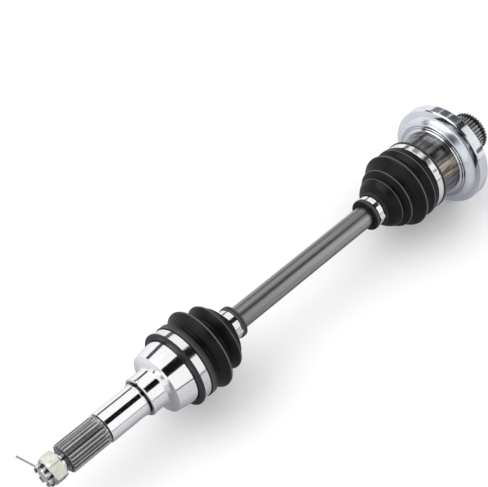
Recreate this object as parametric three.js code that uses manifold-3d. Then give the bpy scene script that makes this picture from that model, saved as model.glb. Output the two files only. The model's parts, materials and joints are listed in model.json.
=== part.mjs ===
// Drive axle: a fixed ball joint at the wheel end, a plunging ball joint at the gearbox end,
// and a solid shaft between them, with two bellows boots and their clamps.
// Millimetres. +X runs along the axle from the wheel nut to the gearbox stub and +Z is up.
// The origin is on the centre line, at the middle of the overall length.

import * as THREE from 'three';
import { mergeVertices } from 'three/addons/utils/BufferGeometryUtils.js';
import Module from 'manifold-3d';

const wasm = await Module();
wasm.setup();

// Overall
const END = 279.75;
const GAP = 0.3;

// Ball joints: everything inside turns about these two points on the centre line
const OUTER_CENTRE = -134;
const INNER_CENTRE = 201.5;
const BALL_COUNT = 6;
const BALL_RADIUS = 6.5;
const BALL_PITCH = 19.5;
const RACE_RADIUS = 16.6;
const RACE_BORE = 9.1;
const RACE_HALF = 9.5;
const CAGE_INSIDE = 17.1;
const CAGE_OUTSIDE = 22;
const CAGE_HALF = 8.5;
const CUP_BORE = 22.9;
const OUTER_TRACK = 8;
const INNER_TRACK = 7.6;
const TRACK_REACH = 15.6;

// Shaft
const SHAFT_RADIUS = 10.8;
const NECK_RADIUS = 8;
const WAIST_RADIUS = 9.5;

// Wheel stub
const THREAD_RADIUS = 8;
const THREAD_END = -275.8;
const PIN_STATION = -273.6;
const WHEEL_SPLINE = { start: -251.25, end: -214.55, tip: 13.9, root: 12.7, teeth: 26 };
const JOURNAL_RADIUS = 14.65;
const COLLAR = { start: -172.15, end: -164.25, radius: 18.6 };
const HUB_RADIUS = 17.8;
const CUP_BACK = -152.25;
const CUP_BACK_RADIUS = 28.5;
const CUP_RADIUS = 31.3;
const CUP_SEAT = 31;
const CUP_MOUTH = -121.1;

// Castle nut and its pin
const NUT_START = -270.85;
const NUT_END = -259.25;
const CROWN_START = -276.75;
const NUT_FLATS = 24;
const CROWN_RADIUS = 10.4;
const NUT_CORNER_ANGLE = 111;
const SLOT_WIDTH = 4.4;
const SLOT_DEPTH = 5.6;
const SLOT_ANGLE = 21;
const PIN_WIRE = 0.85;
const PIN_HOLE = 2.2;

// Gearbox cup, flange and stub
const INNER_MOUTH = 181.8;
const INNER_FLOOR = 226.5;
const INNER_SEAT = 32.4;
const INNER_RADIUS = 32.7;
const INNER_BACK = 235.5;
const STUB_SPLINE = { start: 241, end: 277.6, tip: 20.5, root: 19.3, teeth: 36 };
const FLANGE = { front: 216.45, edge: 227.25, back: 238.45, radius: 52, hub: 36 };
const STOP_RING = { start: 183.1, end: 184.7, inside: 23.2, outside: 24.4 };

// Boots and clamps
const BOOT_WALL = 2.2;
const SMALL_BORE = 11.2;
const BAND = 0.65;

// Sides of the turned pieces. All are multiples of four, so a corner lies on each row axis.
const FINE = 32;
const COARSE = 20;
const FLANGE_SIDES = 32;
const ARC_STEPS = 12;

const radians = THREE.MathUtils.degToRad;

// A turned piece from [x, radius] points, which run along +X outside and back inside
function turned(outline, sides = FINE) {
  const points = outline.map(([x, radius]) => new THREE.Vector2(radius, x));
  return new THREE.LatheGeometry(points, sides).rotateZ(-Math.PI / 2);
}

function ringOutline(outline) {
  return [...outline, outline[0]];
}

// Points of a circle about [centre, 0], between two angles from +X in degrees
function arc(centre, radius, from, to, steps) {
  const points = [];
  for (let i = 0; i <= steps; i += 1) {
    const angle = radians(from + ((to - from) * i) / steps);
    points.push([centre + radius * Math.cos(angle), radius * Math.sin(angle)]);
  }
  return points;
}

// The angle at which a circle about the joint centre has the given distance along X
function angleAt(distance, radius) {
  return THREE.MathUtils.radToDeg(Math.acos(distance / radius));
}

// A closed solid for joining and cutting
function solid(geometry) {
  const bare = geometry.clone();
  bare.deleteAttribute('normal');
  bare.deleteAttribute('uv');
  const merged = mergeVertices(bare, 1e-4);
  const corners = merged.index.array;
  const faces = [];
  for (let i = 0; i < corners.length; i += 3) {
    const [a, b, c] = corners.slice(i, i + 3);
    if (a !== b && b !== c && c !== a) faces.push(a, b, c);
  }
  return new wasm.Manifold(new wasm.Mesh({
    numProp: 3,
    vertProperties: merged.attributes.position.array,
    triVerts: Uint32Array.from(faces),
  }));
}

function geometryOf(shape) {
  const mesh = shape.getMesh();
  const geometry = new THREE.BufferGeometry();
  geometry.setAttribute('position', new THREE.BufferAttribute(mesh.vertProperties, 3));
  geometry.setIndex(new THREE.BufferAttribute(mesh.triVerts, 1));
  geometry.computeVertexNormals();
  return geometry;
}

// A flat outline in the YZ plane, extruded along X
function extrudedAlongX(shape, start, end) {
  const options = { depth: end - start, bevelEnabled: false, curveSegments: ARC_STEPS };
  const geometry = new THREE.ExtrudeGeometry(shape, options);
  return geometry.rotateY(Math.PI / 2).rotateX(Math.PI / 2).translate(start, 0, 0);
}

function circlePoint(radius, angle) {
  return new THREE.Vector2(radius * Math.cos(angle), radius * Math.sin(angle));
}

function splineTeeth({ start, end, tip, root, teeth }) {
  const points = [];
  const pitch = (2 * Math.PI) / teeth;
  for (let i = 0; i < teeth; i += 1) {
    points.push(circlePoint(root, (i + 0.1) * pitch));
    points.push(circlePoint(tip, (i + 0.35) * pitch));
    points.push(circlePoint(tip, (i + 0.65) * pitch));
    points.push(circlePoint(root, (i + 0.9) * pitch));
  }
  return solid(extrudedAlongX(new THREE.Shape(points), start, end));
}

// A flat open ring, such as a circlip: the gap faces the given angle
function openRing(start, end, inside, outside, gapAngle, gapWidth) {
  const shape = new THREE.Shape();
  const from = radians(gapAngle + gapWidth / 2);
  const to = radians(gapAngle - gapWidth / 2 + 360);
  shape.absarc(0, 0, outside, from, to, false);
  shape.absarc(0, 0, inside, to, from, true);
  shape.closePath();
  return extrudedAlongX(shape, start, end);
}

function ballAngles() {
  return Array.from({ length: BALL_COUNT }, (_, i) => (360 / BALL_COUNT) * i);
}

// Ball tracks that curve about the joint centre: one full ring makes two opposite tracks
function curvedTracks(centre, radius) {
  const turns = [0, 60, 120];
  return turns.map((angle) => {
    const ring = new THREE.TorusGeometry(BALL_PITCH, radius, 10, COARSE);
    return solid(ring.rotateX(radians(angle)).translate(centre, 0, 0));
  });
}

function straightTracks(start, end, radius) {
  return ballAngles().map((angle) => {
    const rod = new THREE.CylinderGeometry(radius, radius, end - start, 12);
    rod.rotateZ(Math.PI / 2).translate((start + end) / 2, BALL_PITCH, 0);
    return solid(rod.rotateX(radians(angle)));
  });
}

function cut(body, tools) {
  return tools.reduce((shape, tool) => shape.subtract(tool), body);
}

function innerRace(centre, trackRadius) {
  const edge = angleAt(RACE_HALF, RACE_RADIUS);
  const outline = ringOutline([
    ...arc(centre, RACE_RADIUS, 180 - edge, edge, 4),
    [centre + RACE_HALF, RACE_BORE],
    [centre - RACE_HALF, RACE_BORE],
  ]);
  return geometryOf(cut(solid(turned(outline, COARSE)), curvedTracks(centre, trackRadius)));
}

function cage(centre) {
  const outerEdge = angleAt(CAGE_HALF, CAGE_OUTSIDE);
  const innerEdge = angleAt(CAGE_HALF, CAGE_INSIDE);
  const outline = ringOutline([
    ...arc(centre, CAGE_OUTSIDE, 180 - outerEdge, outerEdge, 4),
    ...arc(centre, CAGE_INSIDE, innerEdge, 180 - innerEdge, 4),
  ]);
  const width = 2 * (BALL_RADIUS + GAP);
  const windows = ballAngles().map((angle) => {
    const box = new THREE.BoxGeometry(width, CAGE_OUTSIDE - CAGE_INSIDE + 8, width + 0.8);
    return solid(box.translate(centre, BALL_PITCH, 0).rotateX(radians(angle)));
  });
  return geometryOf(cut(solid(turned(outline, COARSE)), windows));
}

function ball(centre, angle) {
  const sphere = new THREE.SphereGeometry(BALL_RADIUS, 8, 6);
  return sphere.translate(centre, BALL_PITCH, 0).rotateX(radians(angle));
}

function shaft() {
  const outerStart = OUTER_CENTRE - RACE_HALF - 2.5;
  const innerEnd = INNER_CENTRE + RACE_HALF + 2.5;
  const outline = [
    [outerStart, 0],
    [outerStart, NECK_RADIUS - 0.6],
    [outerStart + 0.8, NECK_RADIUS],
    [OUTER_CENTRE + 22, NECK_RADIUS],
    [OUTER_CENTRE + 30, WAIST_RADIUS],
    [OUTER_CENTRE + 62, WAIST_RADIUS],
    [OUTER_CENTRE + 66, SHAFT_RADIUS],
    [INNER_CENTRE - 82, SHAFT_RADIUS],
    [INNER_CENTRE - 74, WAIST_RADIUS],
    [INNER_CENTRE - 30, WAIST_RADIUS],
    [INNER_CENTRE - 22, NECK_RADIUS],
    [innerEnd - 0.8, NECK_RADIUS],
    [innerEnd, NECK_RADIUS - 0.6],
    [innerEnd, 0],
  ];
  const teeth = { tip: RACE_BORE - GAP, root: NECK_RADIUS - 0.4, teeth: 14 };
  const ends = [OUTER_CENTRE, INNER_CENTRE].map((centre) => {
    return splineTeeth({ start: centre - RACE_HALF, end: centre + RACE_HALF, ...teeth });
  });
  return geometryOf(ends.reduce((shape, end) => shape.add(end), solid(turned(outline, COARSE))));
}

function wheelStub() {
  const { start, end, root } = WHEEL_SPLINE;
  const cavityEdge = angleAt(8, CUP_BORE);
  const outline = [
    [THREAD_END, 0],
    [THREAD_END, THREAD_RADIUS - 1],
    [THREAD_END + 1, THREAD_RADIUS],
    [NUT_END + 1.4, THREAD_RADIUS],
    [NUT_END + 2.2, THREAD_RADIUS - 1],
    [start - 3.6, THREAD_RADIUS - 1],
    [start - 3.6, root - 2.2],
    [start, root - 0.2],
    [end, root - 0.2],
    [end + 0.8, JOURNAL_RADIUS],
    [COLLAR.start, JOURNAL_RADIUS],
    [COLLAR.start, COLLAR.radius - 2],
    [COLLAR.start + 2.7, COLLAR.radius],
    [COLLAR.end, COLLAR.radius],
    [COLLAR.end + 0.6, HUB_RADIUS],
    [CUP_BACK - 3.6, HUB_RADIUS],
    [CUP_BACK - 1.6, HUB_RADIUS + 2.4],
    [CUP_BACK, CUP_BACK_RADIUS],
    [OUTER_CENTRE - 0.75, CUP_RADIUS],
    [OUTER_CENTRE + 0.5, CUP_SEAT],
    [CUP_MOUTH, CUP_SEAT],
    [CUP_MOUTH, CUP_BORE + 4.6],
    ...arc(OUTER_CENTRE, CUP_BORE, cavityEdge, 180, 7),
  ];
  const reach = new THREE.BoxGeometry(2 * TRACK_REACH, 80, 80).translate(OUTER_CENTRE, 0, 0);
  const limits = solid(reach);
  const tracks = curvedTracks(OUTER_CENTRE, OUTER_TRACK).map((track) => track.intersect(limits));
  const hole = new THREE.CylinderGeometry(PIN_HOLE, PIN_HOLE, 40, 12);
  hole.translate(PIN_STATION, 0, 0).rotateX(radians(SLOT_ANGLE));
  const body = solid(turned(outline)).add(splineTeeth(WHEEL_SPLINE));
  return geometryOf(cut(body, [...tracks, solid(hole)]));
}

function castleNut() {
  const corner = NUT_FLATS / Math.sqrt(3);
  const length = NUT_END - NUT_START;
  const middle = (NUT_START + NUT_END) / 2;
  const prism = new THREE.CylinderGeometry(corner, corner, length, 6).rotateZ(-Math.PI / 2);
  prism.rotateX(radians(NUT_CORNER_ANGLE - 90)).translate(middle, 0, 0);
  const bevels = solid(turned([
    [NUT_START, 0],
    [NUT_START, NUT_FLATS / 2],
    [NUT_START + 1.4, corner + 0.4],
    [NUT_END - 1.2, corner + 0.4],
    [NUT_END, NUT_FLATS / 2],
    [NUT_END, 0],
  ], FINE));
  const hexagon = solid(prism).intersect(bevels);
  const crown = turned([
    [CROWN_START, 0],
    [CROWN_START, CROWN_RADIUS - 0.6],
    [CROWN_START + 0.8, CROWN_RADIUS],
    [middle, CROWN_RADIUS],
    [middle, 0],
  ], COARSE);
  const boreRadius = THREAD_RADIUS + GAP + 0.1;
  const bore = new THREE.CylinderGeometry(boreRadius, boreRadius, 60, COARSE);
  bore.rotateZ(Math.PI / 2).translate(middle, 0, 0);
  const slots = [0, 60, 120].map((turn) => {
    const box = new THREE.BoxGeometry(2 * SLOT_DEPTH, 40, SLOT_WIDTH);
    return solid(box.translate(CROWN_START, 0, 0).rotateX(radians(SLOT_ANGLE + turn)));
  });
  return geometryOf(cut(hexagon.add(solid(crown)), [solid(bore), ...slots]));
}

// Split pin, drawn in the plane of its slot as [x, out, aside]: the long leg leans out of
// the nut and to one side, and the eye sits in the slot across the thread
function cotterPin() {
  const leg = PIN_WIRE + 0.1;
  const x = PIN_STATION;
  const route = [
    [-END + PIN_WIRE, 27, -10.4],
    [x - leg - 0.6, 11, -1.2],
    [x - leg, 8.6, 0],
    [x - leg, -8.4, 0],
    [x - 1.3, -9.8, 0],
    [x - 0.7, -11.2, 0],
    [x + 0.7, -11.2, 0],
    [x + 1.3, -9.8, 0],
    [x + leg, -8.4, 0],
    [x + leg, 9.6, 0],
  ];
  const curve = new THREE.CatmullRomCurve3(
    route.map((point) => new THREE.Vector3(...point)), false, 'centripetal');
  const section = new THREE.Shape();
  section.absarc(0, 0, PIN_WIRE, 0, 2 * Math.PI);
  const options = { steps: 26, extrudePath: curve, curveSegments: 4, bevelEnabled: false };
  return new THREE.ExtrudeGeometry(section, options).rotateX(radians(SLOT_ANGLE));
}

function gearboxCup() {
  const { start, end, root } = STUB_SPLINE;
  const outline = [
    [INNER_MOUTH, CUP_BORE],
    [INNER_MOUTH, INNER_SEAT],
    [192.6, INNER_SEAT],
    [193.2, INNER_RADIUS],
    [INNER_BACK - 3, INNER_RADIUS],
    [INNER_BACK, INNER_RADIUS - 3.6],
    [INNER_BACK, 22.4],
    [start - 1.5, 21.4],
    [start, root - 0.2],
    [end, root - 0.2],
    [END, root - 2.2],
    [END, 0],
    [INNER_FLOOR, 0],
    [INNER_FLOOR, CUP_BORE],
    [STOP_RING.end + 0.3, CUP_BORE],
    [STOP_RING.end + 0.3, STOP_RING.outside + 0.4],
    [STOP_RING.start - 0.3, STOP_RING.outside + 0.4],
    [STOP_RING.start - 0.3, CUP_BORE],
    [INNER_MOUTH, CUP_BORE],
  ];
  const tracks = straightTracks(INNER_MOUTH - 5, INNER_FLOOR - 2, INNER_TRACK);
  const clipGroove = solid(turned(ringOutline([
    [end - 2.6, 22],
    [end - 0.4, 22],
    [end - 0.4, root - 0.4],
    [end - 2.6, root - 0.4],
  ]), COARSE));
  const body = solid(turned(outline)).add(splineTeeth(STUB_SPLINE));
  return geometryOf(cut(body, [...tracks, clipGroove]));
}

function flange() {
  const { front, edge, back, radius, hub } = FLANGE;
  const bore = INNER_RADIUS + GAP + 0.2;
  const outline = ringOutline([
    [front, bore],
    [front, hub - 0.6],
    [front + 0.8, hub],
    [front + 1.4, hub + 3.6],
    [front + 2.2, hub + 5],
    [front + 5.6, hub + 6],
    [front + 8.6, hub + 9],
    [front + 10.2, hub + 13],
    [edge, radius - 0.8],
    [edge + 1.7, radius],
    [back - 0.6, radius],
    [back, radius - 0.8],
    [back, radius - 5],
    [back - 5, radius - 7.5],
    [back - 6, hub + 4],
    [back - 6, bore],
  ]);
  // Corners stand just outside the true circle, so that its flats touch it
  const shape = turned(outline, FLANGE_SIDES).rotateX(Math.PI / FLANGE_SIDES);
  const out = 1 / Math.cos(Math.PI / FLANGE_SIDES);
  return shape.scale(1, out, out);
}

// A boot wall: the outline is its outside, and its inside lies one wall below
function bootShell(outside, inside) {
  const shape = turned(ringOutline([...outside, ...inside.reverse()]), FINE);
  return shape.rotateX(Math.PI / FINE);
}

function outerBoot() {
  const seat = CUP_SEAT + 0.6;
  const band = 33.6;
  const crest = 38.8 / Math.cos(Math.PI / FINE);
  const outside = [
    [-132.9, band + 1],
    [-132.4, 36.4],
    [-130.7, 36.4],
    [-130.1, band],
    [-121.7, band],
    [-121.2, 35.8],
    [-115.6, 35.8],
    [-111.8, 31],
    [-103.2, crest - 0.6],
    [-101.6, crest],
    [-100, crest - 0.9],
    [-93, 27],
    [-86, 31.5],
    [-84.4, 31.9],
    [-76.2, 24.3],
    [-71, 13.3],
    [-63.4, 13.3],
    [-63, 15.6],
    [-58.5, 15.6],
  ];
  const inside = [
    [-132.9, seat],
    [-120, seat],
    [-111.8, 31 - BOOT_WALL],
    [-101.6, crest - BOOT_WALL - 1],
    [-93, 27 - BOOT_WALL],
    [-84.8, 31.9 - BOOT_WALL - 1],
    [-77, 24.3 - BOOT_WALL - 1],
    [-71.6, SMALL_BORE],
    [-58.5, SMALL_BORE],
  ];
  return bootShell(outside, inside);
}

function innerBoot() {
  const seat = INNER_SEAT + 0.6;
  const band = 34.8;
  const outside = [
    [115.7, 16.1],
    [120.2, 16.1],
    [120.4, 14.4],
    [126.7, 14.4],
    [127, 16.6],
    [132, 17],
    [138.8, 25.4],
    [140.4, 25.8],
    [143, 23.4],
    [147, 31.6],
    [148.6, 31.6],
    [153, 27.6],
    [160.6, 38],
    [163, 38],
    [169.5, 33],
    [176.4, 36.6],
    [180, 36.6],
    [182.6, band],
    [190.4, band],
    [190.9, 36.8],
    [192.4, 36.8],
  ];
  const inside = [
    [115.7, SMALL_BORE],
    [127.6, SMALL_BORE],
    [139.6, 25.8 - BOOT_WALL - 1],
    [143, 23.4 - BOOT_WALL],
    [148, 31.6 - BOOT_WALL - 1],
    [153, 27.6 - BOOT_WALL],
    [161.8, 38 - BOOT_WALL - 1],
    [169.5, 33 - BOOT_WALL],
    [176.8, 36.6 - BOOT_WALL - 0.6],
    [180.6, seat],
    [192.4, seat],
  ];
  return bootShell(outside, inside);
}

// A clamp band with its crimped ear
function clamp(start, end, radius, earAngle, sides) {
  const outline = ringOutline([
    [start, radius - BAND],
    [start, radius],
    [end, radius],
    [end, radius - BAND],
  ]);
  const ear = new THREE.BoxGeometry((end - start) * 0.8, 1.6, 5);
  ear.translate((start + end) / 2, radius + 0.55, 0).rotateX(radians(earAngle));
  return geometryOf(solid(turned(outline, sides)).add(solid(ear)));
}

const group = new THREE.Group();

function add(name, geometry, { color, roughness, metalness }) {
  const material = new THREE.MeshStandardMaterial({ color, roughness, metalness });
  const mesh = new THREE.Mesh(geometry, material);
  mesh.name = name;
  group.add(mesh);
}

const shaftSteel = { color: 0x8d8f92, roughness: 0.4, metalness: 1 };
const brightSteel = { color: 0xd8dadf, roughness: 0.18, metalness: 1 };
const darkSteel = { color: 0x75706a, roughness: 0.3, metalness: 1 };
const hardSteel = { color: 0xb4b6ba, roughness: 0.15, metalness: 1 };
const springSteel = { color: 0x2e2f31, roughness: 0.35, metalness: 1 };
const stainless = { color: 0xc9cbce, roughness: 0.22, metalness: 1 };
const zincPlate = { color: 0xd6dbe2, roughness: 0.25, metalness: 1 };
const nutZinc = { color: 0xd9d5c6, roughness: 0.3, metalness: 1 };
const pinWire = { color: 0x8b8d90, roughness: 0.35, metalness: 1 };
const rubber = { color: 0x0e0e0f, roughness: 0.5, metalness: 0 };

add('shaft', shaft(), shaftSteel);

add('outer_race', innerRace(OUTER_CENTRE, OUTER_TRACK), hardSteel);
add('outer_cage', cage(OUTER_CENTRE), springSteel);
add('inner_race', innerRace(INNER_CENTRE, INNER_TRACK), hardSteel);
add('inner_cage', cage(INNER_CENTRE), springSteel);
ballAngles().forEach((angle, i) => {
  add(`outer_ball_${i + 1}`, ball(OUTER_CENTRE, angle), brightSteel);
  add(`inner_ball_${i + 1}`, ball(INNER_CENTRE, angle), brightSteel);
});

// Circlips that hold the races on the shaft
const clipInside = NECK_RADIUS + 0.3;
const clipOutside = 10.4;
const outerClip = OUTER_CENTRE + RACE_HALF + 0.4;
const innerClip = INNER_CENTRE - RACE_HALF - 0.4;
add('outer_race_circlip', openRing(outerClip, outerClip + 1.4, clipInside, clipOutside, 90, 30), springSteel);
add('inner_race_circlip', openRing(innerClip - 1.4, innerClip, clipInside, clipOutside, 90, 30), springSteel);

add('wheel_stub', wheelStub(), brightSteel);
add('castle_nut', castleNut(), nutZinc);
add('cotter_pin', cotterPin(), pinWire);
add('outer_boot', outerBoot(), rubber);
add('outer_boot_large_clamp', clamp(-129.65, -122.05, 34.8, 150, FINE), stainless);
add('outer_boot_small_clamp', clamp(-70.35, -63.65, 14.6, 168, COARSE), stainless);

add('gearbox_cup', gearboxCup(), darkSteel);
add('dust_flange', flange(), zincPlate);
const { start, end, inside, outside } = STOP_RING;
add('cup_stop_ring', openRing(start, end, inside, outside, 30, 16), springSteel);
const stubClip = STUB_SPLINE.end - 2.3;
const clipSeat = STUB_SPLINE.root - 0.1;
const clipRim = STUB_SPLINE.tip + 0.4;
add('stub_circlip', openRing(stubClip, stubClip + 1.6, clipSeat, clipRim, 300, 20), springSteel);
add('inner_boot', innerBoot(), rubber);
add('inner_boot_large_clamp', clamp(182.95, 190.15, 36, 150, FINE), stainless);
add('inner_boot_small_clamp', clamp(120.65, 126.45, 15.6, 168, COARSE), stainless);

export default group;
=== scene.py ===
"""Looks of a drive axle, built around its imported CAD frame.

Lengths are written in millimetres along the axle's centre line (+X) and out from it.
Stations are counted from a ball joint's centre, which the frame gives.
The stage at the end is written in metres.
"""

import json
import math

import bmesh
import bpy
from mathutils import Matrix, Vector


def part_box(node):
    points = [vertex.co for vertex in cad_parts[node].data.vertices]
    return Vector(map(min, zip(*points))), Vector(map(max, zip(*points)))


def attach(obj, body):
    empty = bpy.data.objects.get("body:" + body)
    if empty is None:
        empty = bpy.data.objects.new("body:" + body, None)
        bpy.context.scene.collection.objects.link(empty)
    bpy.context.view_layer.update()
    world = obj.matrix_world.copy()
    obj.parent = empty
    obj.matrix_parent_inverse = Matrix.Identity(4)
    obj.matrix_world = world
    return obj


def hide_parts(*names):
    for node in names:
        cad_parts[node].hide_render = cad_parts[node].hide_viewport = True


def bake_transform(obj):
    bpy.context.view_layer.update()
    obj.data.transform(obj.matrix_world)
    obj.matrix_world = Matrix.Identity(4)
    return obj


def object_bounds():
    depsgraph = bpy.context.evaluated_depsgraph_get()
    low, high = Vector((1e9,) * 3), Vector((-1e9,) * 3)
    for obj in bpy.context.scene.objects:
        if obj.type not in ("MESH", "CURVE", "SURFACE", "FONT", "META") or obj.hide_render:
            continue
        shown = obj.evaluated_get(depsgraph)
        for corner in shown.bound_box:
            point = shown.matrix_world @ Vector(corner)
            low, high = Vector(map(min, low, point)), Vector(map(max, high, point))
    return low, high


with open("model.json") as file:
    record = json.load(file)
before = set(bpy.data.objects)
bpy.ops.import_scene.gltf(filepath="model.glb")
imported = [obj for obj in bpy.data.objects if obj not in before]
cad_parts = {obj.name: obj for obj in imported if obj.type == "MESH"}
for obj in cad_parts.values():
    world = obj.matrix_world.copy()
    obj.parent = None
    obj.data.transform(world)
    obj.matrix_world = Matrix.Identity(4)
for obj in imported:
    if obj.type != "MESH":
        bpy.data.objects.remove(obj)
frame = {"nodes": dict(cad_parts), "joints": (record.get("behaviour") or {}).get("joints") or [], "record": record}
cad_box = [list(corner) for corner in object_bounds()]

MM = 0.001
TURN = 2 * math.pi


def joint_centre(name):
    """Station of a hinge on the centre line, in millimetres."""
    joint = next(j for j in frame["joints"] if j["name"] == name)
    return joint["pos_m"][0] / MM


OUTER = joint_centre("outer_bend")
INNER = joint_centre("inner_bend")
AXLE_START = cad_box[0][0] / MM
AXLE_END = cad_box[1][0] / MM
FLOOR = cad_box[0][2]
PIN_STATION = OUTER - 139.6
SLOT_ANGLE = 21  # degrees round the axle from +Y, for the pin and the first pair of slots


# ---------------------------------------------------------------- outlines

def filleted(corners, steps=5):
    """Outline points from (x, radius, fillet) corners, each corner rounded by its fillet.

    A fillet that is too large for a side shrinks until it takes less than half of it.
    """
    share = 0.48
    points = []
    for i, (x, r, fillet) in enumerate(corners):
        here = Vector((x, r))
        inside = 0 < i < len(corners) - 1
        if not fillet or not inside:
            points.append((x, r))
            continue
        before = Vector(corners[i - 1][:2]) - here
        after = Vector(corners[i + 1][:2]) - here
        half = before.angle(after) / 2
        reach = min(fillet / math.tan(half), before.length * share, after.length * share)
        radius = reach * math.tan(half)
        middle = (before.normalized() + after.normalized()).normalized()
        centre = here + middle * (radius / math.sin(half))
        first = here + before.normalized() * reach - centre
        last = here + after.normalized() * reach - centre
        sweep = first.angle_signed(last)
        for k in range(steps + 1):
            turn = Matrix.Rotation(-sweep * k / steps, 2)
            spot = centre + turn @ first
            points.append((spot.x, spot.y))
    return points


def moved(outline, along):
    """The same outline, shifted along the axle. Whatever follows x in a point stays as it is."""
    return [(point[0] + along, *point[1:]) for point in outline]


def stretches(start, end, count):
    """Evenly spaced stations from start to end, both included."""
    return [start + (end - start) * i / count for i in range(count + 1)]


# ---------------------------------------------------------------- meshes

def new_object(name, mesh):
    obj = bpy.data.objects.new(name, mesh)
    bpy.context.scene.collection.objects.link(obj)
    return obj


def smooth(obj, angle=32):
    obj.data.shade_smooth()
    obj.data.set_sharp_from_angle(angle=math.radians(angle))


def revolved(name, outline, sides=128, radius_at=None, closed=False, start_angle=0.0):
    """A turned piece. radius_at(x, radius, angle) may shape teeth, threads or bumps on it.

    The outline is a list of (x, radius) in millimetres. An open outline starts and ends on
    the centre line, and a closed one comes back to its first point. It runs along +X
    outside and back inside.
    """
    bm = bmesh.new()
    rings = []
    for x, r in outline:
        if r < 1e-6:
            rings.append([bm.verts.new((x * MM, 0, 0))])
            continue
        ring = []
        for i in range(sides):
            angle = start_angle + TURN * i / sides
            out = radius_at(x, r, angle) if radius_at else r
            ring.append(bm.verts.new((x * MM, out * math.cos(angle) * MM, out * math.sin(angle) * MM)))
        rings.append(ring)
    pairs = list(zip(rings, rings[1:]))
    if closed:
        pairs.append((rings[-1], rings[0]))
    for low, high in pairs:
        for i in range(sides):
            j = (i + 1) % sides
            corners = [low[i % len(low)], low[j % len(low)], high[j % len(high)], high[i % len(high)]]
            distinct = list(dict.fromkeys(corners))
            if len(distinct) > 2:
                bm.faces.new(distinct)
    bmesh.ops.recalc_face_normals(bm, faces=bm.faces)
    mesh = bpy.data.meshes.new(name)
    bm.to_mesh(mesh)
    bm.free()
    obj = new_object(name, mesh)
    smooth(obj)
    return obj


def mark(obj, layer, value_at):
    """Stores value_at(station, radius) on each point, for the materials to read."""
    values = [
        value_at(vertex.co.x / MM, math.hypot(vertex.co.y, vertex.co.z) / MM)
        for vertex in obj.data.vertices
    ]
    obj.data.attributes.new(layer, "FLOAT", "POINT").data.foreach_set("value", values)


def peaks(spots):
    """A value_at for mark: (station, reach, strength) bands that fade out on both sides."""
    def value_at(x, r):
        return max(strength * max(0.0, 1 - abs(x - station) / reach) for station, reach, strength in spots)
    return value_at


def box_mesh(name, size, centre):
    """A plain box used as a cutting tool, in millimetres."""
    bm = bmesh.new()
    bmesh.ops.create_cube(bm, size=1)
    bmesh.ops.scale(bm, vec=Vector(size) * MM, verts=bm.verts)
    bmesh.ops.translate(bm, vec=Vector(centre) * MM, verts=bm.verts)
    mesh = bpy.data.meshes.new(name)
    bm.to_mesh(mesh)
    bm.free()
    return new_object(name, mesh)


def about_axle(obj, degrees):
    """Turns an object's mesh round the axle, from +Y towards +Z."""
    obj.data.transform(Matrix.Rotation(math.radians(degrees), 4, "X"))
    return obj


def apply_modifiers(obj):
    """Bakes an object's modifiers into its mesh."""
    depsgraph = bpy.context.evaluated_depsgraph_get()
    mesh = bpy.data.meshes.new_from_object(obj.evaluated_get(depsgraph))
    obj.modifiers.clear()
    obj.data = mesh


def cut(obj, tools):
    """Takes the tools' shapes out of an object and removes the tools."""
    for tool in tools:
        boolean = obj.modifiers.new("cut", "BOOLEAN")
        boolean.operation = "DIFFERENCE"
        boolean.solver = "EXACT"
        boolean.object = tool
    apply_modifiers(obj)
    for tool in tools:
        bpy.data.objects.remove(tool)


def bevel_edges(obj, width):
    """Breaks every edge that is sharper than 35 degrees."""
    bevel = obj.modifiers.new("bevel", "BEVEL")
    bevel.width = width * MM
    bevel.segments = 2
    bevel.limit_method = "ANGLE"
    bevel.angle_limit = math.radians(35)
    apply_modifiers(obj)
    smooth(obj, 40)


def swept(name, path, radius):
    """A round wire along a path of points, with flat ends."""
    sides = 16
    bm = bmesh.new()
    points = [Vector(p) * MM for p in path]
    rings = []
    side = Vector((0, 0, 1))
    for i, point in enumerate(points):
        ahead = points[min(i + 1, len(points) - 1)] - points[max(i - 1, 0)]
        ahead.normalize()
        side = (side - ahead * side.dot(ahead)).normalized()
        up = ahead.cross(side)
        ring = []
        for k in range(sides):
            angle = TURN * k / sides
            ring.append(bm.verts.new(point + (side * math.cos(angle) + up * math.sin(angle)) * radius * MM))
        rings.append(ring)
    for low, high in zip(rings, rings[1:]):
        for k in range(sides):
            j = (k + 1) % sides
            bm.faces.new((low[k], low[j], high[j], high[k]))
    bm.faces.new(rings[0])
    bm.faces.new(rings[-1])
    bmesh.ops.recalc_face_normals(bm, faces=bm.faces)
    mesh = bpy.data.meshes.new(name)
    bm.to_mesh(mesh)
    bm.free()
    obj = new_object(name, mesh)
    smooth(obj, 50)
    return obj


# ---------------------------------------------------------------- materials

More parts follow.
